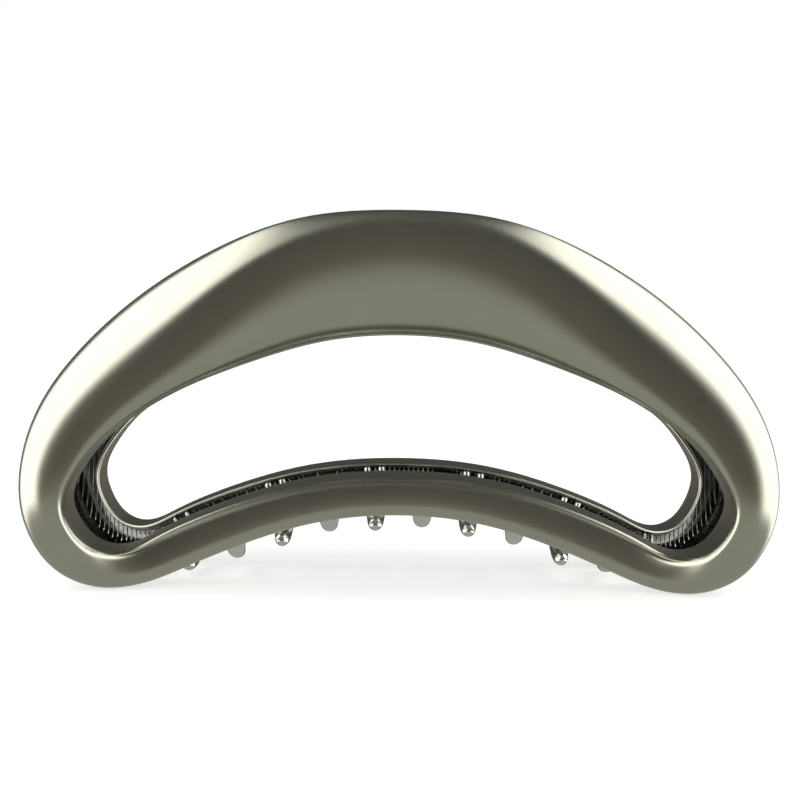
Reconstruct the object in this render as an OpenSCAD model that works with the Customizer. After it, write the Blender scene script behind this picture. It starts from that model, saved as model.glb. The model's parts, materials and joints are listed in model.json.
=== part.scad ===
// Claw clip for hair: two identical crescent jaws that close on each other round one sprung hinge.
// X runs along the clip, the front jaw is on the -Y side, Z is up, and the jaws' horns stand on Z = 0.
// The rear jaw and its fittings are the front ones turned half a turn about Z.

/* [Clip] */
// Length over the two ends
clip_l = 108; // [96:0.5:120]
// Height from the horns to the top edge
clip_h = 54.5; // [50:0.5:60]
// Depth over both closed jaws
clip_d = 48.4; // [46:0.2:54]

/* [Walls] */
// Wall of the satin outer shell
shell_t = 0.9; // [0.7:0.05:1]
// Wall of the bright ribbed liner
liner_t = 0.6; // [0.5:0.05:0.7]
// How far the liner's edge sits inside the shell's edge
liner_recess = 2.2; // [1:0.1:2.6]

/* [Teeth] */
// Teeth on each jaw
tooth_count = 6; // [4:2:6]
// Distance between two teeth of one jaw
tooth_pitch = 14; // [12:0.5:14]
// Width of a tooth along X where it leaves its bar
tooth_root_d = 3.4; // [2.6:0.1:3.6]
// Height of a tooth where it leaves its bar
tooth_h = 2.1; // [1.8:0.1:2.2]
// Diameter at the tip of a tooth
tooth_tip_d = 2; // [1.4:0.1:2.4]

/* [Hinge] */
// Height of the hinge axis
hinge_z = 41.5; // [41:0.25:43]
// Diameter of the hinge pin
pin_d = 2.4; // [2:0.1:2.8]
// Clearance all round the pin in the moving ears
pin_clearance = 0.05; // [0.02:0.01:0.1]
// Diameter of the eye round the pin
eye_d = 7.6; // [6.8:0.2:8]
// Thickness of one ear
ear_t = 2.8; // [2:0.1:2.8]

/* [Spring] */
// Wire diameter of the torsion spring
wire_d = 1.2; // [0.8:0.1:1.2]
// Mean diameter of the spring's coil
coil_d = 6; // [5.2:0.1:6.4]
// Turns of the coil between its two legs
coil_turns = 8; // [6:1:8]

/* [Hidden] */

satin_nickel = [0.56, 0.56, 0.52];
bright_chrome = [0.78, 0.78, 0.76];
spring_steel = [0.45, 0.46, 0.47];

// Stations round one half of the jaw's ring, from the middle of the top to the middle of the bottom,
// on a clip 108 long, 54.5 high and 48.4 deep. Each row holds: outer edge x and z, window edge x
// and z, place of the crown from window edge to outer edge, then distances from the mid-plane: crown,
// window bend, outer bend, window flange edge and outer flange edge, and last the fullness of the
// window bend and the outer bend: 2 is an ellipse, and more is flatter with a tighter corner.
HALF = [
    [0, 54.6, 0, 36.8, 0.85, 23.3, 14, 22.6, 9.5, 18, 2.2, 2],
    [14.4, 53.6, 11, 35.9, 0.8, 23.5, 14.2, 21.8, 9.7, 17.5, 2.4, 2],
    [28, 48.1, 21.6, 32.7, 0.66, 24, 15, 18.5, 10.5, 15.2, 3, 2],
    [39.4, 40.5, 32.2, 28.5, 0.45, 24.2, 16.5, 17.5, 12, 13.4, 4.5, 2.1],
    [48.6, 30.9, 40.9, 22.7, 0.37, 24.2, 18, 18, 13, 13, 5, 2.2],
    [52.9, 22.2, 44.9, 18.1, 0.31, 24.1, 19, 19, 12.9, 12.8, 5.5, 2.2],
    [54, 14, 47.3, 13.6, 0.27, 23.7, 19.2, 19.2, 12.8, 12.5, 5.5, 2.2],
    [52.5, 7.5, 46.4, 9.7, 0.27, 22.5, 18, 17.8, 11.5, 11.5, 5, 2.2],
    [48.9, 2.4, 44.2, 6.7, 0.3, 20.6, 16.5, 16, 10.5, 10.5, 4.5, 2.4],
    [42.6, -0.1, 41, 5.5, 0.37, 18.6, 15, 14.3, 9.3, 9.3, 4, 2.8],
    [35.5, 0.9, 37.3, 6.3, 0.39, 17, 13.8, 13, 8, 8, 4, 3.2],
    [28.7, 3.7, 31.4, 9.4, 0.41, 15.8, 12.9, 12.3, 7, 7, 4, 3.4],
    [14.3, 8.9, 15.8, 14.8, 0.43, 14.5, 11.5, 11.2, 5.6, 5.6, 4, 3.6],
    [0, 10.4, 0, 16.2, 0.43, 14, 11, 10.8, 5, 5, 4, 3.6]];
BOTTOM = len(HALF) - 1;
ROUND = 2 * BOTTOM;
STEPS = 2;
BEND_STEPS = 4;

size_x = clip_l / 108;
size_y = clip_d / 48.4;
size_z = clip_h / 54.5;
fit_gap = 0.05;
liner_in = shell_t + fit_gap;
inside = liner_in + liner_t + fit_gap;

// Columns of a row, named
function outer_edge(r) = [r[0], r[1]];
function window_edge(r) = [r[2], r[3]];

// A station of the whole ring: the second half mirrors the first in x
function sized(r) = [r[0] * size_x, r[1] * size_z, r[2] * size_x, r[3] * size_z, r[4],
    r[5] * size_y, r[6] * size_y, r[7] * size_y, r[8] * size_y, r[9] * size_y, r[10], r[11]];
function mirrored(r) = [for (k = [0:len(r) - 1]) k == 0 || k == 2 ? -r[k] : r[k]];
function station(i) = let (k = (i + 2 * ROUND) % ROUND)
    k <= BOTTOM ? sized(HALF[k]) : mirrored(sized(HALF[ROUND - k]));
// Control rows sharpened so that the smooth curve passes through the stations
function control(i) = station(i) - (station(i - 1) - 2 * station(i) + station(i + 1)) / 6;
// Smooth row at a place u along the ring, by a uniform cubic B-spline
function row(u) = let (i = floor(u), f = u - floor(u), g = 1 - f)
    (g * g * g * control(i - 1) + (4 - 6 * f * f + 3 * f * f * f) * control(i)
    + (4 - 6 * g * g + 3 * g * g * g) * control(i + 1) + f * f * f * control(i + 2)) / 6;

// A point of the section plane of a row: w from the window edge outwards, d from the mid-plane
function place(r, w, d) = let (across = (outer_edge(r) - window_edge(r))
    / norm(outer_edge(r) - window_edge(r)))
    [r[2] + across[0] * w, -d, r[3] + across[1] * w];
function width(r) = norm(outer_edge(r) - window_edge(r));

// The two quarter superellipses of a section, set in from the outer face by inset
function window_bend(r, inset, from = 0, to = 90) = let (peak = r[4] * width(r),
    crown = r[5] - inset, foot = min(r[6], crown - 0.05), power = 2 / r[10])
    [for (a = [from:90 / BEND_STEPS:to + 0.01])
        place(r, peak - (peak - inset) * pow(cos(a), power), foot + (crown - foot) * pow(sin(a), power))];
function outer_bend(r, inset) = let (peak = r[4] * width(r), crown = r[5] - inset,
    foot = min(r[7], crown - 0.05), power = 2 / r[11])
    [for (a = [90 / BEND_STEPS:90 / BEND_STEPS:90.01]) place(r,
        peak + (width(r) - inset - peak) * pow(sin(a), power), foot + (crown - foot) * pow(cos(a), power))];
// The open line of a channel section, from the window flange's edge over the crown to the outer one
function channel_line(r, inset, recess) = concat(
    [place(r, inset, r[8] + recess)],
    window_bend(r, inset),
    outer_bend(r, inset),
    [place(r, width(r) - inset, r[9] + recess)]);
function reversed(list) = [for (i = [len(list) - 1:-1:0]) list[i]];

// A solid through rings of points; a closed loft joins its last ring to its first
module loft(rings, closed = false) {
    n = len(rings[0]);
    count = len(rings);
    last = closed ? count - 1 : count - 2;
    sides = [for (i = [0:last], k = [0:n - 1], half = [0, 1]) let (
        a = i * n + k, b = i * n + (k + 1) % n,
        c = ((i + 1) % count) * n + (k + 1) % n, d = ((i + 1) % count) * n + k)
        half == 0 ? [a, b, c] : [a, c, d]];
    caps = closed ? [] : [[for (k = [n - 1:-1:0]) k], [for (k = [0:n - 1]) (count - 1) * n + k]];
    polyhedron([for (ring = rings, p = ring) p], concat(sides, caps));
}

// A channel that goes all the way round the ring
module ring_channel(inset, wall, recess) {
    loft([for (i = [0:ROUND * STEPS - 1]) let (r = row(i / STEPS))
        concat(channel_line(r, inset, recess), reversed(channel_line(r, inset + wall, recess)))],
        closed = true);
}

// Turns a front-jaw piece into the rear jaw's
module rear() {
    rotate([0, 0, 180]) children();
}

module front_shell() {
    color(satin_nickel) ring_channel(0, shell_t, 0);
}

module rear_shell() {
    rear() front_shell();
}

module front_liner() {
    color(bright_chrome) ring_channel(liner_in, liner_t, liner_recess);
}

module rear_liner() {
    rear() front_liner();
}

// Place along the ring of the lower band's point at x
LOWER_BAND = [for (i = [(ROUND - 9) * 4:-1:9 * 4]) [row(i / 4)[0], i / 4]];
function band_u(x) = lookup(x, LOWER_BAND);
comb_bar_h = 2.2;
comb_bar_t = 1.2;
tab_in = liner_in + 0.3;
tab_from = -0.6;
tab_to = liner_recess - 0.1;
tooth_steps = 9;
tooth_sides = 10;
// The teeth of one jaw stand a quarter pitch off centre, so that a turned jaw's teeth fall between
function tooth_x(k) = (k - tooth_count / 2 + 0.25) * tooth_pitch;

// A box across the channel between two places along the ring
module channel_block(u_list, w_from, w_to, d_from, d_to) {
    loft([for (u = u_list) let (r = row(u)) [
        place(r, width(r) + w_from, r[9] + d_from),
        place(r, width(r) + w_from, r[9] + d_to),
        place(r, width(r) + w_to, r[9] + d_to),
        place(r, width(r) + w_to, r[9] + d_from)]]);
}

// One tooth: a curved, tapering oval finger from the bar to just past the mid-plane
module tooth(x) {
    r = row(band_u(x));
    start = [-r[9] + comb_bar_t - 0.2, max(r[1] + comb_bar_h / 2, tooth_h / 2 + 0.2)];
    low = max(tooth_h / 2 + 0.1, start[1] - 4);
    tip = [3.4, low + 0.5];
    middle = [-0.6, max(low - 0.4, 2 * low - (start[1] + tip[1]) / 2)];
    function bend(t) = (1 - t) * (1 - t) * start + 2 * t * (1 - t) * middle + t * t * tip;
    function heading(t) = let (v = bend(min(1, t + 0.02)) - bend(max(0, t - 0.02))) v / norm(v);
    function ring(centre, along, half_w, half_h) = [for (k = [0:tooth_sides - 1])
        let (a = 360 * k / tooth_sides)
        [x + half_w * cos(a), centre[0] - along[1] * half_h * sin(a),
            centre[1] + along[0] * half_h * sin(a)]];
    tip_r = tooth_tip_d / 2;
    loft(concat(
        [for (i = [0:tooth_steps]) let (t = i / tooth_steps) ring(bend(t), heading(t),
            tooth_root_d / 2 * (1 - t) + tip_r * t, tooth_h / 2 * (1 - t) + tip_r * t)],
        [for (a = [30:30:60]) ring(bend(1) + heading(1) * tip_r * sin(a), heading(1),
            tip_r * cos(a), tip_r * cos(a))],
        [ring(bend(1) + heading(1) * tip_r, heading(1), tip_r * 0.15, tip_r * 0.15)]));
}

// Bar behind the lower flange, with the teeth and the pairs of tabs that hold it in the channel
module front_tooth_comb() {
    color(bright_chrome) union() {
        channel_block([for (u = [9:0.5:ROUND - 9]) u], -comb_bar_h, -0.1, -comb_bar_t, -0.02);
        for (k = [0:tooth_count - 1]) {
            tooth(tooth_x(k));
            for (side = [-1, 1], x = tooth_x(k) + side) {
                u = band_u(x);
                channel_block([u - 0.025, u + 0.025], tab_in - width(row(u)), -tab_in, tab_from, tab_to);
            }
        }
    }
}

module rear_tooth_comb() {
    rear() front_tooth_comb();
}

ear_gap = 0.2;
ear_x = 10;
plate_t = 0.9;
plate_from = 90 / BEND_STEPS;
plate_end = 1.5;
tangent_eye = [0, hinge_z];
// Point where a line from p touches a circle round the hinge axis, on the side given by its sign
function touch(p, r, side) = let (v = p - tangent_eye, a = atan2(v[1], v[0]) + side * acos(r / norm(v)))
    tangent_eye + r * [cos(a), sin(a)];

// One ear from the plate to the eye, between x and x + ear_t
module ear(x) {
    back = [for (p = window_bend(row(band_top(x + ear_t / 2)), inside + plate_t / 2,
        plate_from + 5, 85)) [p[1], p[2]]];
    rotate([90, 0, 90]) translate([0, 0, x]) {
        linear_extrude(height = ear_t) polygon(concat(
            back, [touch(back[len(back) - 1], eye_d / 2, -1), tangent_eye, touch(back[0], eye_d / 2, 1)]));
        translate([0, hinge_z, 0]) cylinder(h = ear_t, d = eye_d, $fn = 48);
    }
}
UPPER_BAND = [for (i = [-6:6]) [row(i / 4)[2], i / 4]];
function band_top(x) = lookup(x, UPPER_BAND);

// Plate that follows the inside of the top band, with two ears bored for the pin
module hinge_bracket(bore_d) {
    difference() {
        union() {
            loft([for (u = [-plate_end:1 / STEPS:plate_end]) let (r = row(u)) concat(
                window_bend(r, inside, plate_from), reversed(window_bend(r, inside + plate_t, plate_from)))]);
            ear(-ear_x - ear_gap / 2 - ear_t);
            ear(ear_x - ear_gap / 2 - ear_t);
        }
        translate([-ear_x - 5, 0, hinge_z]) rotate([0, 90, 0])
            cylinder(h = 2 * ear_x + 10, d = bore_d, $fn = 48);
    }
}

module front_hinge_bracket() {
    color(bright_chrome) hinge_bracket(pin_d + 2 * pin_clearance);
}

module rear_hinge_bracket() {
    color(bright_chrome) rear() hinge_bracket(pin_d);
}

pin_half_l = ear_x + ear_gap / 2 + ear_t + 1.4;
cap_from = ear_x + ear_gap / 2 + ear_t + ear_gap;
cap_d = 4.8;
cap_t = 1.9;

module hinge_pin() {
    color(spring_steel) translate([-pin_half_l, 0, hinge_z]) rotate([0, 90, 0])
        cylinder(h = 2 * pin_half_l, d = pin_d, $fn = 48);
}

// Domed cap pressed on one end of the pin
module pin_cap() {
    translate([cap_from, 0, hinge_z]) rotate([0, 90, 0]) rotate_extrude($fn = 48) difference() {
        intersection() {
            translate([0, -cap_d / 2 + cap_t]) circle(d = cap_d, $fn = 64);
            square([cap_d / 2, cap_t]);
        }
        translate([0, -1]) square([pin_d / 2, 1 + pin_half_l - cap_from]);
    }
}

module pin_cap_right() {
    color(spring_steel) pin_cap();
}

module pin_cap_left() {
    color(spring_steel) rear() pin_cap();
}

coil_steps = 16;
wire_sides = 8;
coil_half_l = 5.3;
leg_end = [-18.2, hinge_z + 4.6];
leg_start = touch(leg_end, coil_d / 2, -1);
leg_angle = atan2(leg_start[1] - hinge_z, leg_start[0]);

// Torsion spring: a coil round the pin with a straight leg to the inside of each handle
module torsion_spring() {
    sweep = 360 * coil_turns - 180 + 2 * (90 - leg_angle) - 360 * floor((180 - 2 * leg_angle) / 360);
    turn_count = ceil(sweep / 360 * coil_steps);
    coil = [for (i = [0:turn_count]) let (a = leg_angle + sweep * i / turn_count)
        [-coil_half_l + 2 * coil_half_l * i / turn_count, coil_d / 2 * cos(a),
            hinge_z + coil_d / 2 * sin(a)]];
    first = [-coil_half_l, leg_end[0], leg_end[1]];
    last = [coil_half_l, -leg_end[0], leg_end[1]];
    path = concat([first], coil, [last]);
    function unit(v) = v / norm(v);
    color(spring_steel) loft([for (i = [0:len(path) - 1]) let (
        along = unit(path[min(len(path) - 1, i + 1)] - path[max(0, i - 1)]),
        side = unit(cross(along, [1, 0, 0])),
        up = cross(side, along))
        [for (k = [0:wire_sides - 1]) path[i] + wire_d / 2
            * (cos(360 * k / wire_sides) * side + sin(360 * k / wire_sides) * up)]]);
}

front_shell();
rear_shell();
front_liner();
rear_liner();
front_tooth_comb();
rear_tooth_comb();
front_hinge_bracket();
rear_hinge_bracket();
hinge_pin();
pin_cap_left();
pin_cap_right();
torsion_spring();
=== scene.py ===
"""Claw clip for hair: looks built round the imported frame.

Blender works in metres. The shape tables and sizes below are in millimetres, and MM turns them into metres.
The rear jaw is the front jaw turned half a turn about Z.
"""

import json
import math

import bpy
import numpy as np
from mathutils import Matrix, Vector
from mathutils.bvhtree import BVHTree

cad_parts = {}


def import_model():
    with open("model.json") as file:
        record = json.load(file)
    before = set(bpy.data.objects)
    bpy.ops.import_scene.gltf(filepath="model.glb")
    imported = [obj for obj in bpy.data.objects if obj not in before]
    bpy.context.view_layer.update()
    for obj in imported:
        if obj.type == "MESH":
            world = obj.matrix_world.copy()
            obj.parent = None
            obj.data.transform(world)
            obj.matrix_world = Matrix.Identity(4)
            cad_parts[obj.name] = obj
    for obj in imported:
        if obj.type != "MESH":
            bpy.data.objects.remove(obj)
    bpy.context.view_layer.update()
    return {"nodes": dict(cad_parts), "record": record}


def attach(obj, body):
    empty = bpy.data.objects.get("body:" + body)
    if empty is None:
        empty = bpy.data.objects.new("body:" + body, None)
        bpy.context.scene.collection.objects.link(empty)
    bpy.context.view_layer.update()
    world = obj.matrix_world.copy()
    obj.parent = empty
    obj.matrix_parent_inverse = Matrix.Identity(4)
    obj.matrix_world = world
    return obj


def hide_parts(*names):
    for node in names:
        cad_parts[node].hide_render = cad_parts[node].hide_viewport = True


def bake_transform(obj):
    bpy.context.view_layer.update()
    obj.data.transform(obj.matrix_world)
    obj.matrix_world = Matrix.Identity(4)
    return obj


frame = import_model()

MM = 0.001
HINGE = frame["record"]["behaviour"]["joints"][0]["pos_m"]
HINGE_Z = HINGE[2] / MM

# Camera and lens, as the clip was seen: close, level with its top edge and tilted a little down
CAMERA_PLACE = (0.0, -0.3113, 0.0518)
CAMERA_DOWN = math.radians(4.67)
CAMERA_ROLL = math.radians(0.62)
LENS_MM = 93.1

# The white sheet under the clip: colour, glow, and in metres half its side and its height. It lies just
# under the lowest point of the visual model.
PAPER = (0.5, 0.5, 0.5, 1)
PAPER_GLOW = 0.65
PAPER_HALF = 3.0
PAPER_Z = -0.0001

# The studio's light by direction (x, y, z) from the clip: a soft bright side on the left and one on the
# right, pale ground below, and a dim room elsewhere. A side is bright where -y less LEAN times the height
# is under the second of FADE and gone at the first. It also fades towards the back by END, where |x| less
# NARROW times |z| gets small, and at its foot.
WINDOW = (2.2, 2.2, 2.12)
LEFT_LEAN = 0.8
LEFT_FADE = (0.8, 0.6)
LEFT_END = (0.66, 0.5)
RIGHT_LEAN = 0.25
RIGHT_FADE = (0.82, 0.46)
RIGHT_END = (0.85, 0.65)
NARROW = 0.45
NARROW_FADE = (-0.02, 0.14)
FOOT_FADE = (-0.52, -0.32)
GROUND = (0.36, 0.37, 0.34)
GROUND_FADE = (-0.16, -0.5)
ROOM_LOW = (0.112, 0.093, 0.08)
ROOM_HIGH = (0.058, 0.063, 0.056)
ROOM_FADE = (-0.08, 0.12)

# Stations round one half of a jaw's ring, from the middle of the top to the middle of the bottom: outer
# edge x and z, window edge x and z, place of the crown across the ring, then distances from the
# mid-plane: crown, window bend, outer bend, window flange edge and outer flange edge, and last the
# fullness of the window bend and the outer bend: 2 is an ellipse, and more is flatter.
HALF = np.array([
    [0, 54.6, 0, 36.8, 0.85, 23.3, 14, 22.6, 9.5, 18, 2.2, 2],
    [14.4, 53.6, 11, 35.9, 0.8, 23.5, 14.2, 21.8, 9.7, 17.5, 2.4, 2],
    [28, 48.1, 21.6, 32.7, 0.66, 24, 15, 18.5, 10.5, 15.2, 3, 2],
    [39.4, 40.5, 32.2, 28.5, 0.45, 24.2, 16.5, 17.5, 12, 13.4, 4.5, 2.1],
    [48.6, 30.9, 40.9, 22.7, 0.37, 24.2, 18, 18, 13, 13, 5, 2.2],
    [52.9, 22.2, 44.9, 18.1, 0.31, 24.1, 19, 19, 12.9, 12.8, 5.5, 2.2],
    [54, 14, 47.3, 13.6, 0.27, 23.7, 19.2, 19.2, 12.8, 12.5, 5.5, 2.2],
    [52.5, 7.5, 46.4, 9.7, 0.27, 22.5, 18, 17.8, 11.5, 11.5, 5, 2.2],
    [48.9, 2.4, 44.2, 6.7, 0.3, 20.6, 16.5, 16, 10.5, 10.5, 4.5, 2.4],
    [42.6, -0.1, 41, 5.5, 0.37, 18.6, 15, 14.3, 9.3, 9.3, 4, 2.8],
    [35.5, 0.9, 37.3, 6.3, 0.39, 17, 13.8, 13, 8, 8, 4, 3.2],
    [28.7, 3.7, 31.4, 9.4, 0.41, 15.8, 12.9, 12.3, 7, 7, 4, 3.4],
    [14.3, 8.9, 15.8, 14.8, 0.43, 14.5, 11.5, 11.2, 5.6, 5.6, 4, 3.6],
    [0, 10.4, 0, 16.2, 0.43, 14, 11, 10.8, 5, 5, 4, 3.6]])
BOTTOM = len(HALF) - 1
ROUND = 2 * BOTTOM
MIRROR = np.array([-1, 1, -1, 1, 1, 1, 1, 1, 1, 1, 1, 1])

# Wall thicknesses, the gap between walls, and how far the liner's edges sit inside the shell's
SHELL_T = 0.9
LINER_T = 0.6
FIT_GAP = 0.05
LINER_IN = SHELL_T + FIT_GAP
LINER_RECESS = 2.2
# Insets of a wall's two faces at its edges, and the radius of the rounded edge
SHELL_RIM = (0, 0.4)
LINER_RIM = (0.62, 0.92)
RIM_R = 0.2

# Ribs: pitch, width, height and how deep they are sunk, then the step along a rib and the range searched
RIB_PITCH = 0.75
RIB_W = 0.3
RIB_H = 0.26
RIB_SINK = 0.06
RIB_STEP = 0.5
RIB_TOP = 56
RIB_SIDE = 54
# Ribs stop where the floor's normal turns this far from the y axis
RIB_FACING = 0.2

# Comb: teeth, the bar that carries them, and tabs by inset, half length along the ring and depth range
TOOTH_COUNT = 6
TOOTH_PITCH = 14
TOOTH_W = 3.4
TOOTH_H = 2.1
TOOTH_TIP_R = 1
BAR_H = 2.2
BAR_T = 1.2
TAB_IN = 0.55
TAB_HALF = 0.025
TAB_FROM = -0.6
TAB_TO = LINER_RECESS - 0.1

# Hinge brackets: a plate inside the top band, and two ears bored for the pin
PLATE_IN = LINER_IN + LINER_T + FIT_GAP
PLATE_T = 0.9
PLATE_END = 1.5
# Where the plate starts on the bend, in degrees from the window side
PLATE_FROM = 22.5
EAR_X = 10
EAR_GAP = 0.2
EAR_T = 2.8
EYE_R = 3.8
PIN_R = 1.2
PIN_CLEARANCE = 0.05

# Spring: wire, coil, half the coil's length, and the first leg's end as y and height above the axis
WIRE_R = 0.6
COIL_R = 3
COIL_TURNS = 8
COIL_HALF_L = 5.3
LEG_END = (-18.2, 4.6)


# --- The ring's shape -------------------------------------------------------------------------------

STATIONS = np.concatenate([HALF, HALF[-2:0:-1] * MIRROR])
CONTROLS = STATIONS - (np.roll(STATIONS, 1, 0) - 2 * STATIONS + np.roll(STATIONS, -1, 0)) / 6


def row(u):
    """Smooth row of the ring at place u, by a uniform cubic B-spline."""
    i = math.floor(u)
    f = u - i
    g = 1 - f
    c = [CONTROLS[(i + k) % ROUND] for k in (-1, 0, 1, 2)]
    return (g ** 3 * c[0] + (4 - 6 * f * f + 3 * f ** 3) * c[1]
            + (4 - 6 * g * g + 3 * g ** 3) * c[2] + f ** 3 * c[3]) / 6


def width(r):
    return math.hypot(r[0] - r[2], r[1] - r[3])


def place(r, w, d):
    """Point w millimetres outwards from the window edge and d from the mid-plane."""
    size = width(r)
    return (r[2] + (r[0] - r[2]) / size * w, -d, r[3] + (r[1] - r[3]) / size * w)


def corner(half_w, half_d, fullness, steps):
    """Quarter of a superellipse from its depth axis to its width axis, in equal turns of the normal."""
    points = []
    power = 2 / fullness
    for k in range(steps + 1):
        if k == 0 or k == steps:
            points.append((0.0, half_d) if k == 0 else (half_w, 0.0))
            continue
        turn = math.tan(math.pi / 2 * k / steps) * half_w / half_d
        a = math.atan(turn ** (fullness / (2 * fullness - 2)))
        points.append((half_w * math.sin(a) ** power, half_d * math.cos(a) ** power))
    return points


def bends(r, inset, steps):
    """The two bends of a section, from the window side over the crown to the outer side."""
    peak = r[4] * width(r)
    crown = r[5] - inset
    foot_in = min(r[6], crown - 0.05)
    foot_out = min(r[7], crown - 0.05)
    inner = [(peak - w, foot_in + d)
             for w, d in corner(peak - inset, crown - foot_in, r[10], steps)[::-1]]
    outer = [(peak + w, foot_out + d)
             for w, d in corner(width(r) - inset - peak, crown - foot_out, r[11], steps)[1:]]
    return inner, outer


def channel_line(r, inset, rim_inset, recess, steps, flange_steps=4):
    """One face of a channel wall as (w, d) pairs, from window flange edge to outer flange edge.

    The face lies inset from the outside, easing to rim_inset at the two edges, where walls are thinner.
    """
    inner, outer = bends(r, inset, steps)
    size = width(r)
    line = []
    for k in range(flange_steps):
        f = k / flange_steps
        line.append((rim_inset * (1 - f) + inset * f, (r[8] + recess + RIM_R) * (1 - f) + inner[0][1] * f))
    line += inner + outer
    for k in range(1, flange_steps + 1):
        f = k / flange_steps
        line.append((size - inset * (1 - f) - rim_inset * f,
                     outer[-1][1] * (1 - f) + (r[9] + recess + RIM_R) * f))
    return line


def rim_arc(w_from, w_to, edge, steps=6):
    """Rounded rim of a wall, from one face to the other."""
    mid = (w_from + w_to) / 2
    half = (w_to - w_from) / 2
    return [(mid - half * math.cos(math.pi * k / steps), edge + RIM_R - RIM_R * math.sin(math.pi * k / steps))
            for k in range(1, steps)]


def channel_section(r, faces, rims, recess, steps=14):
    """Closed line of a channel wall between two insets, with thin rounded rims between two others."""
    size = width(r)
    line = channel_line(r, faces[0], rims[0], recess, steps)
    line += rim_arc(size - rims[0], size - rims[1], r[9] + recess)
    line += channel_line(r, faces[1], rims[1], recess, steps)[::-1]
    return line + rim_arc(rims[1], rims[0], r[8] + recess)


# --- Mesh helpers -----------------------------------------------------------------------------------

TURN = Matrix.Rotation(math.pi, 4, "Z")


def new_piece(name, vertices, faces, material, rear=False):
    """A mesh object from vertices in millimetres, turned to the rear jaw on request."""
    mesh = bpy.data.meshes.new(name)
    mesh.from_pydata([Vector(v) * MM for v in vertices], [], faces)
    mesh.validate()
    if rear:
        mesh.transform(TURN)
    mesh.polygons.foreach_set("use_smooth", [True] * len(mesh.polygons))
    mesh.materials.append(material)
    obj = bpy.data.objects.new(name, mesh)
    bpy.context.scene.collection.objects.link(obj)
    return obj


class Solid:
    """Collects several lofts into one list of vertices and faces."""

    def __init__(self):
        self.vertices = []
        self.faces = []

    def loft(self, rings, closed=False):
        """Skins the rings, either as a closed loop or with a cap at each end."""
        base = len(self.vertices)
        n = len(rings[0])
        count = len(rings)
        for ring in rings:
            self.vertices.extend(ring)
        for i in range(count if closed else count - 1):
            j = (i + 1) % count
            for k in range(n):
                m = (k + 1) % n
                self.faces.append((base + i * n + k, base + j * n + k, base + j * n + m, base + i * n + m))
        if not closed:
            self.faces.append([base + k for k in range(n)])
            self.faces.append([base + (count - 1) * n + k for k in reversed(range(n))])


def tube(solid, path, radii, sides):
    """Sweeps an oval along a path that lies in planes of constant x; radii are (along x, across) pairs."""
    rings = []
    for i, p in enumerate(path):
        a = Vector(path[max(0, i - 1)])
        b = Vector(path[min(len(path) - 1, i + 1)])
        along = (b - a).normalized()
        side = Vector((1, 0, 0))
        up = along.cross(side)
        rx, ry = radii[i]
        rings.append([Vector(p) + side * rx * math.cos(t) - up * ry * math.sin(t)
                      for t in (2 * math.pi * k / sides for k in range(sides))])
    solid.loft(rings)


# --- Materials --------------------------------------------------------------------------------------

# Broad tint noise and fine grain: noise scale per metre, detail, and the height of the grain in metres
BROAD_SCALE = 160.0
BROAD_DETAIL = 3.0
FINE_DETAIL = 2.0
GRAIN_HEIGHT = 0.00004


def metal(name, colour, roughness, grain_mm, grain_bump, rough_spread, tint_spread=0.06):
    """Metal with a fine grain: noise of grain_mm drives bump and roughness, broad noise drives tint."""
    mat = bpy.data.materials.new(name)
    mat.use_nodes = True
    nodes = mat.node_tree.nodes
    links = mat.node_tree.links
    bsdf = nodes["Principled BSDF"]
    bsdf.inputs["Metallic"].default_value = 1.0
    coords = nodes.new("ShaderNodeTexCoord")

    broad = nodes.new("ShaderNodeTexNoise")
    broad.inputs["Scale"].default_value = BROAD_SCALE
    broad.inputs["Detail"].default_value = BROAD_DETAIL
    links.new(coords.outputs["Object"], broad.inputs["Vector"])
    tint = nodes.new("ShaderNodeMix")
    tint.data_type = "RGBA"
    low = [c * (1 - tint_spread) for c in colour]
    high = [min(1.0, c * (1 + tint_spread)) for c in colour]
    tint.inputs["A"].default_value = (*low, 1)
    tint.inputs["B"].default_value = (*high, 1)
    links.new(broad.outputs["Fac"], tint.inputs["Factor"])
    links.new(tint.outputs["Result"], bsdf.inputs["Base Color"])

    fine = nodes.new("ShaderNodeTexNoise")
    fine.inputs["Scale"].default_value = 1000.0 / grain_mm
    fine.inputs["Detail"].default_value = FINE_DETAIL
    links.new(coords.outputs["Object"], fine.inputs["Vector"])
    spread = nodes.new("ShaderNodeMapRange")
    spread.inputs["From Min"].default_value = 0.3
    spread.inputs["From Max"].default_value = 0.7
    spread.inputs["To Min"].default_value = roughness - rough_spread
    spread.inputs["To Max"].default_value = roughness + rough_spread
    links.new(fine.outputs["Fac"], spread.inputs["Value"])
    links.new(spread.outputs["Result"], bsdf.inputs["Roughness"])
    bump = nodes.new("ShaderNodeBump")
    bump.inputs["Strength"].default_value = grain_bump
    bump.inputs["Distance"].default_value = GRAIN_HEIGHT
    links.new(fine.outputs["Fac"], bump.inputs["Height"])
    links.new(bump.outputs["Normal"], bsdf.inputs["Normal"])
    return mat


SATIN = metal("satin_nickel", (0.56, 0.55, 0.465), 0.25, 0.22, 0.1, 0.02)
CHROME = metal("bright_chrome", (0.60, 0.60, 0.57), 0.10, 0.5, 0.04, 0.03)
# Chrome darkened to about a third of bright chrome: painted shade for the floor of the liner's channel, which
# is the same plating as its ribs
PAINTED_SHADE_CHROME = metal("painted_shade_chrome", (0.2, 0.2, 0.19), 0.2, 0.5, 0.06, 0.05)
STEEL = metal("drawn_steel", (0.36, 0.37, 0.38), 0.24, 0.3, 0.1, 0.04)
POLISHED = metal("polished_steel", (0.52, 0.52, 0.51), 0.15, 0.4, 0.05, 0.03)
TOOTH_CHROME = metal("tooth_chrome", (0.82, 0.82, 0.8), 0.07, 0.5, 0.03, 0.02)


# --- Pieces -----------------------------------------------------------------------------------------

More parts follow.
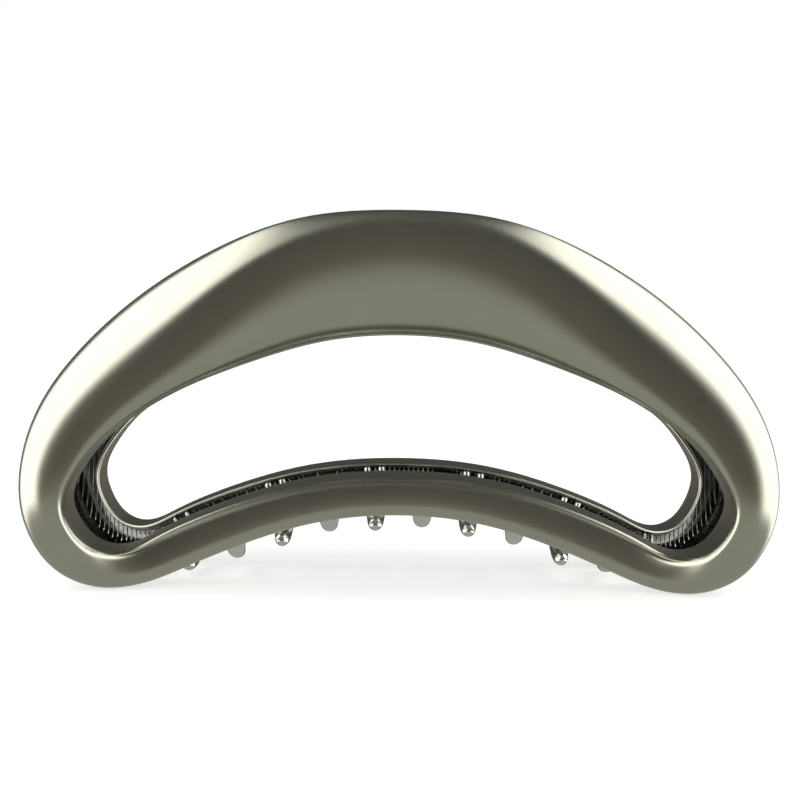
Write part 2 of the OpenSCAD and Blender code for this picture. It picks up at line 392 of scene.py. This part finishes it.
def jaw_channel(faces, rims, recess, steps_per_station=8):
    """A channel wall that goes all the way round the ring."""
    solid = Solid()
    rings = []
    for k in range(ROUND * steps_per_station):
        r = row(k / steps_per_station)
        rings.append([place(r, w, d) for w, d in channel_section(r, faces, rims, recess)])
    solid.loft(rings, closed=True)
    return solid


def floor_tree():
    """The liner's floor without its steep sides, for finding how deep it lies at any x and z."""
    vertices = []
    faces = []
    steps = 14
    per_station = 8
    lines = []
    for k in range(ROUND * per_station):
        r = row(k / per_station)
        inner, outer = bends(r, LINER_IN + LINER_T, steps)
        lines.append([place(r, w, d) for w, d in inner[2:] + outer[:-2]])
    n = len(lines[0])
    for line in lines:
        vertices.extend(Vector(p) for p in line)
    for i in range(len(lines)):
        j = (i + 1) % len(lines)
        for k in range(n - 1):
            faces.append((i * n + k, j * n + k, j * n + k + 1, i * n + k + 1))
    return BVHTree.FromPolygons(vertices, faces)


def add_ribs(solid):
    """Fine ridges along z on the channel's floor, one every pitch along x."""
    tree = floor_tree()
    count = int(RIB_SIDE / RIB_PITCH)
    for i in range(-count, count + 1):
        x = i * RIB_PITCH
        run = []
        z = 0.0
        while z < RIB_TOP:
            hit, normal, _, _ = tree.ray_cast(Vector((x, 0, z)), Vector((0, -1, 0)))
            keep = hit is not None and abs(normal.y) > RIB_FACING
            if keep:
                run.append((hit, normal if normal.y > 0 else -normal))
            if run and not keep:
                add_rib(solid, run)
                run = []
            z += RIB_STEP
        if run:
            add_rib(solid, run)


def add_rib(solid, run):
    """One half-round ridge over a run of floor points, sunk a little into the floor."""
    if len(run) < 3:
        return
    rings = []
    for k, (p, n) in enumerate(run):
        ease = min(1.0, 0.3 + 0.5 * min(k, len(run) - 1 - k))
        ring = []
        for a in (-1.0, -0.6, 0.0, 0.6, 1.0):
            lift = RIB_H * ease * math.sqrt(1 - a * a) - RIB_SINK
            ring.append(p + Vector((a * RIB_W / 2, 0, 0)) + n * lift)
        rings.append(ring)
    solid.loft(rings)


def band_u(x):
    """Place along the ring of the lower band's point at x."""
    us = np.arange(9 * 4, (ROUND - 9) * 4 + 1) / 4
    xs = np.array([row(u)[0] for u in us])
    return float(np.interp(x, xs[::-1], us[::-1]))


def channel_block(solid, us, w_from, w_to, d_from, d_to):
    """A bar across the channel, between two lines measured from the outer flange."""
    rings = []
    ease = 0.25
    for u in us:
        r = row(u)
        size = width(r)
        corners = []
        lo_w, hi_w = sorted((w_from, w_to))
        lo_d, hi_d = sorted((d_from, d_to))
        e = min(ease, (hi_w - lo_w) / 3, (hi_d - lo_d) / 3)
        for cw, cd, start in ((lo_w + e, lo_d + e, 180), (hi_w - e, lo_d + e, 270),
                              (hi_w - e, hi_d - e, 0), (lo_w + e, hi_d - e, 90)):
            for step in range(4):
                a = math.radians(start + 30 * step)
                corners.append(place(r, size + cw + e * math.cos(a), r[9] + cd + e * math.sin(a)))
        rings.append(corners)
    solid.loft(rings)


def add_tooth(solid, x):
    """A curved, tapering oval finger from the bar to just past the mid-plane."""
    r = row(band_u(x))
    start = Vector((-r[9] + BAR_T - 0.2, max(r[1] + BAR_H / 2, TOOTH_H / 2 + 0.2)))
    low = max(TOOTH_H / 2 + 0.1, start[1] - 4)
    tip = Vector((3.4, low + 0.5))
    middle = Vector((-0.6, max(low - 0.4, 2 * low - (start[1] + tip[1]) / 2)))
    path = []
    radii = []
    steps = 20
    for i in range(steps + 1):
        t = i / steps
        p = (1 - t) ** 2 * start + 2 * t * (1 - t) * middle + t * t * tip
        path.append((x, p[0], p[1]))
        radii.append((TOOTH_W / 2 * (1 - t) + TOOTH_TIP_R * t, TOOTH_H / 2 * (1 - t) + TOOTH_TIP_R * t))
    end = (tip - middle).normalized()
    for a in (15, 30, 45, 60, 75, 86):
        a = math.radians(a)
        p = tip + end * TOOTH_TIP_R * math.sin(a)
        path.append((x, p[0], p[1]))
        radii.append((TOOTH_TIP_R * math.cos(a), TOOTH_TIP_R * math.cos(a)))
    tube(solid, path, radii, 24)


def tooth_comb():
    """Bar behind the lower flange with the teeth, and the pairs of tabs that hold it."""
    solid = Solid()
    tabs = Solid()
    channel_block(solid, np.linspace(9, ROUND - 9, 81), -BAR_H, -0.1, -BAR_T, -0.02)
    for k in range(TOOTH_COUNT):
        x = (k - TOOTH_COUNT / 2 + 0.25) * TOOTH_PITCH
        add_tooth(solid, x)
        for side in (-1, 1):
            u = band_u(x + side)
            channel_block(tabs, [u - TAB_HALF, u + TAB_HALF], TAB_IN - width(row(u)), -TAB_IN, TAB_FROM,
                          TAB_TO)
    return solid, tabs


def window_bend(r, inset, start, end, step=3):
    """The window side's bend of a face, as points, between two angles in degrees."""
    peak = r[4] * width(r)
    crown = r[5] - inset
    foot = min(r[6], crown - 0.05)
    power = 2 / r[10]
    count = round((end - start) / step)
    line = []
    for k in range(count + 1):
        a = math.radians(min(89.999, start + (end - start) * k / count))
        line.append(place(r, peak - (peak - inset) * math.cos(a) ** power,
                          foot + (crown - foot) * math.sin(a) ** power))
    return line


def straight(start, end, steps=24):
    """Points from start up to, but without, end."""
    return [(start[0] + (end[0] - start[0]) * k / steps, start[1] + (end[1] - start[1]) * k / steps)
            for k in range(steps)]


def add_ear(solid, x, bore_r):
    """One ear from the plate to the eye, bored for the pin, between x and x + EAR_T."""
    us = np.arange(-6, 7) / 4
    u = float(np.interp(x + EAR_T / 2, [row(v)[2] for v in us], us))
    back = [(p[1], p[2]) for p in window_bend(row(u), PLATE_IN + PLATE_T / 2, PLATE_FROM + 5, 85)]

    def touch_angle(p, side):
        away = math.hypot(p[0], p[1] - HINGE_Z)
        return math.atan2(p[1] - HINGE_Z, p[0]) + side * math.acos(EYE_R / away)

    first = touch_angle(back[-1], -1)
    last = touch_angle(back[0], 1)
    turn = (first - last) % (2 * math.pi)
    steps = 40
    angles = [first - turn * k / steps for k in range(steps + 1)]
    eye = [(EYE_R * math.cos(a), HINGE_Z + EYE_R * math.sin(a)) for a in angles]
    outline = back[:-1] + straight(back[-1], eye[0]) + eye[:-1] + straight(eye[-1], back[0])
    rings = []
    for y, z in outline:
        away = math.hypot(y, z - HINGE_Z) / bore_r
        hole = (y / away, HINGE_Z + (z - HINGE_Z) / away)
        rings.append([(x, y, z), (x + EAR_T, y, z), (x + EAR_T, *hole), (x, *hole)])
    solid.loft(rings, closed=True)


def hinge_bracket(bore_r):
    """Plate that follows the inside of the top band, with two ears bored for the pin."""
    solid = Solid()
    rings = []
    for u in np.linspace(-PLATE_END, PLATE_END, 49):
        r = row(u)
        rings.append(window_bend(r, PLATE_IN, PLATE_FROM, 90)
                     + window_bend(r, PLATE_IN + PLATE_T, PLATE_FROM, 90)[::-1])
    solid.loft(rings)
    add_ear(solid, -EAR_X - EAR_GAP / 2 - EAR_T, bore_r)
    add_ear(solid, EAR_X - EAR_GAP / 2 - EAR_T, bore_r)
    return solid


def leg_touch(point, radius):
    """Angle on the coil where a straight leg to the point leaves it."""
    away = math.hypot(*point)
    return math.atan2(point[1], point[0]) - math.acos(radius / away)


def torsion_spring():
    """Coil round the pin with one straight leg to each handle, swept as a round wire."""
    start = leg_touch(LEG_END, COIL_R)
    turn = 2 * math.pi
    sweep = turn * COIL_TURNS - math.pi + 2 * (math.pi / 2 - start)
    sweep -= turn * math.floor((math.pi - 2 * start) / turn)
    steps = math.ceil(sweep / turn * 40)
    path = []
    leg_steps = 12
    first = Vector((-COIL_HALF_L, LEG_END[0], HINGE_Z + LEG_END[1]))
    last = Vector((COIL_HALF_L, -LEG_END[0], HINGE_Z + LEG_END[1]))
    coil = [Vector((-COIL_HALF_L + 2 * COIL_HALF_L * i / steps, COIL_R * math.cos(start + sweep * i / steps),
                    HINGE_Z + COIL_R * math.sin(start + sweep * i / steps))) for i in range(steps + 1)]
    for i in range(leg_steps):
        path.append(first.lerp(coil[0], i / leg_steps))
    path += coil
    for i in range(1, leg_steps + 1):
        path.append(coil[-1].lerp(last, i / leg_steps))
    solid = Solid()
    rings = []
    sides = 14
    for i, p in enumerate(path):
        along = (path[min(len(path) - 1, i + 1)] - path[max(0, i - 1)]).normalized()
        side = along.cross(Vector((1, 0, 0))).normalized()
        up = side.cross(along)
        rings.append([p + (side * math.cos(a) + up * math.sin(a)) * WIRE_R
                      for a in (turn * k / sides for k in range(sides))])
    solid.loft(rings)
    return solid


def jaw(side, rear):
    """All the visual pieces of one jaw."""
    body = side + "_jaw"
    shell = jaw_channel((0, SHELL_T), SHELL_RIM, 0)
    shell_piece = new_piece(side + "_shell_smooth", shell.vertices, shell.faces, SATIN, rear)
    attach(shell_piece, body)
    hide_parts(side + "_shell")

    liner = jaw_channel((LINER_IN, LINER_IN + LINER_T), LINER_RIM, LINER_RECESS)
    # The liner's floor gets the darkened chrome as painted shade in the channel, while its ribs keep the
    # bright tooth chrome
    liner_piece = new_piece(side + "_liner_floor", liner.vertices, liner.faces, PAINTED_SHADE_CHROME, rear)
    ribs = Solid()
    add_ribs(ribs)
    rib_piece = new_piece(side + "_liner_ribs", ribs.vertices, ribs.faces, TOOTH_CHROME, rear)
    for piece in (liner_piece, rib_piece):
        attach(piece, body)
        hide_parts(side + "_liner")

    teeth, tabs = tooth_comb()
    tooth_piece = new_piece(side + "_teeth", teeth.vertices, teeth.faces, TOOTH_CHROME, rear)
    tab_piece = new_piece(side + "_tabs", tabs.vertices, tabs.faces, CHROME, rear)
    for piece in (tooth_piece, tab_piece):
        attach(piece, body)
        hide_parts(side + "_tooth_comb")


    bracket = hinge_bracket(PIN_R if rear else PIN_R + PIN_CLEARANCE)
    bracket_piece = new_piece(side + "_bracket", bracket.vertices, bracket.faces, CHROME, rear)
    bracket_piece.data.set_sharp_from_angle(angle=math.radians(35))
    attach(bracket_piece, body)
    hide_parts(side + "_hinge_bracket")


jaw("front", False)
jaw("rear", True)

spring = torsion_spring()
spring_piece = new_piece("spring_wire", spring.vertices, spring.faces, STEEL)
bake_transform(spring_piece)
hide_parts("torsion_spring")

for node, material in (("hinge_pin", STEEL), ("pin_cap_left", POLISHED), ("pin_cap_right", POLISHED)):
    obj = frame["nodes"][node]
    for slot in obj.material_slots:
        slot.material = material


# --- Stage, light and camera ------------------------------------------------------------------------

def floor():
    """The white sheet, which catches a soft shadow and stays out of the clip's reflections."""
    mesh = bpy.data.meshes.new("floor")
    corners = [(x * PAPER_HALF, y * PAPER_HALF, PAPER_Z) for x, y in ((-1, -1), (1, -1), (1, 1), (-1, 1))]
    mesh.from_pydata(corners, [], [(0, 1, 2, 3)])
    obj = bpy.data.objects.new("floor", mesh)
    bpy.context.scene.collection.objects.link(obj)
    obj.visible_glossy = False
    mat = bpy.data.materials.new("floor_paper")
    mat.use_nodes = True
    bsdf = mat.node_tree.nodes["Principled BSDF"]
    bsdf.inputs["Base Color"].default_value = PAPER
    bsdf.inputs["Roughness"].default_value = 1.0
    bsdf.inputs["Specular IOR Level"].default_value = 0.0
    bsdf.inputs["Emission Color"].default_value = (1, 1, 1, 1)
    bsdf.inputs["Emission Strength"].default_value = PAPER_GLOW
    mesh.materials.append(mat)


def world():
    """Two soft bright sides, pale ground and a dim room, with a white backdrop for the camera."""
    w = bpy.data.worlds.new("studio")
    bpy.context.scene.world = w
    w.use_nodes = True
    nodes = w.node_tree.nodes
    links = w.node_tree.links
    nodes.clear()
    out = nodes.new("ShaderNodeOutputWorld")
    coords = nodes.new("ShaderNodeTexCoord")
    split = nodes.new("ShaderNodeSeparateXYZ")
    links.new(coords.outputs["Generated"], split.inputs["Vector"])

    def smooth(source, low, high):
        n = nodes.new("ShaderNodeMapRange")
        n.interpolation_type = "SMOOTHSTEP"
        n.inputs["From Min"].default_value = low
        n.inputs["From Max"].default_value = high
        links.new(source, n.inputs["Value"])
        return n.outputs["Result"]

    def calc(operation, *values):
        n = nodes.new("ShaderNodeMath")
        n.operation = operation
        for k, value in enumerate(values):
            if isinstance(value, float):
                n.inputs[k].default_value = value
            else:
                links.new(value, n.inputs[k])
        return n.outputs["Value"]

    def mix(factor, a, b):
        n = nodes.new("ShaderNodeMix")
        n.data_type = "RGBA"
        links.new(factor, n.inputs["Factor"])
        for socket, value in (("A", a), ("B", b)):
            if isinstance(value, tuple):
                n.inputs[socket].default_value = (*value, 1)
            else:
                links.new(value, n.inputs[socket])
        return n.outputs["Result"]

    x, y, z = (split.outputs[k] for k in range(3))
    ahead = calc("MULTIPLY", y, -1.0)
    up = calc("MAXIMUM", z, 0.0)
    left = smooth(calc("SUBTRACT", ahead, calc("MULTIPLY", up, LEFT_LEAN)), *LEFT_FADE)
    left = calc("MULTIPLY", left, smooth(y, *LEFT_END))
    right = smooth(calc("SUBTRACT", ahead, calc("MULTIPLY", up, RIGHT_LEAN)), *RIGHT_FADE)
    right = calc("MULTIPLY", right, smooth(y, *RIGHT_END))
    on_right = calc("GREATER_THAN", x, 0.0)
    bright = calc("ADD", calc("MULTIPLY", right, on_right),
                  calc("MULTIPLY", left, calc("SUBTRACT", 1.0, on_right)))
    across = calc("SUBTRACT", calc("ABSOLUTE", x), calc("MULTIPLY", calc("ABSOLUTE", z), NARROW))
    bright = calc("MULTIPLY", bright, smooth(across, *NARROW_FADE))
    bright = calc("MULTIPLY", bright, smooth(z, *FOOT_FADE))
    room = mix(smooth(z, *ROOM_FADE), ROOM_LOW, ROOM_HIGH)
    lower = mix(smooth(z, *GROUND_FADE), room, GROUND)
    light = nodes.new("ShaderNodeBackground")
    links.new(mix(bright, lower, WINDOW), light.inputs["Color"])
    backdrop = nodes.new("ShaderNodeBackground")
    backdrop.inputs["Color"].default_value = (1, 1, 1, 1)
    path = nodes.new("ShaderNodeLightPath")
    pick = nodes.new("ShaderNodeMixShader")
    links.new(path.outputs["Is Camera Ray"], pick.inputs["Fac"])
    links.new(light.outputs["Background"], pick.inputs[1])
    links.new(backdrop.outputs["Background"], pick.inputs[2])
    links.new(pick.outputs["Shader"], out.inputs["Surface"])


def camera():
    data = bpy.data.cameras.new("camera")
    data.lens = LENS_MM
    data.sensor_width = 36
    data.clip_start = 0.01
    data.clip_end = 20
    obj = bpy.data.objects.new("camera", data)
    bpy.context.scene.collection.objects.link(obj)
    obj.matrix_world = (Matrix.Translation(CAMERA_PLACE) @ Matrix.Rotation(math.pi / 2 - CAMERA_DOWN, 4, "X")
                        @ Matrix.Rotation(CAMERA_ROLL, 4, "Z"))
    bpy.context.scene.camera = obj


floor()
world()
camera()
bpy.context.scene.view_settings.view_transform = "Standard"
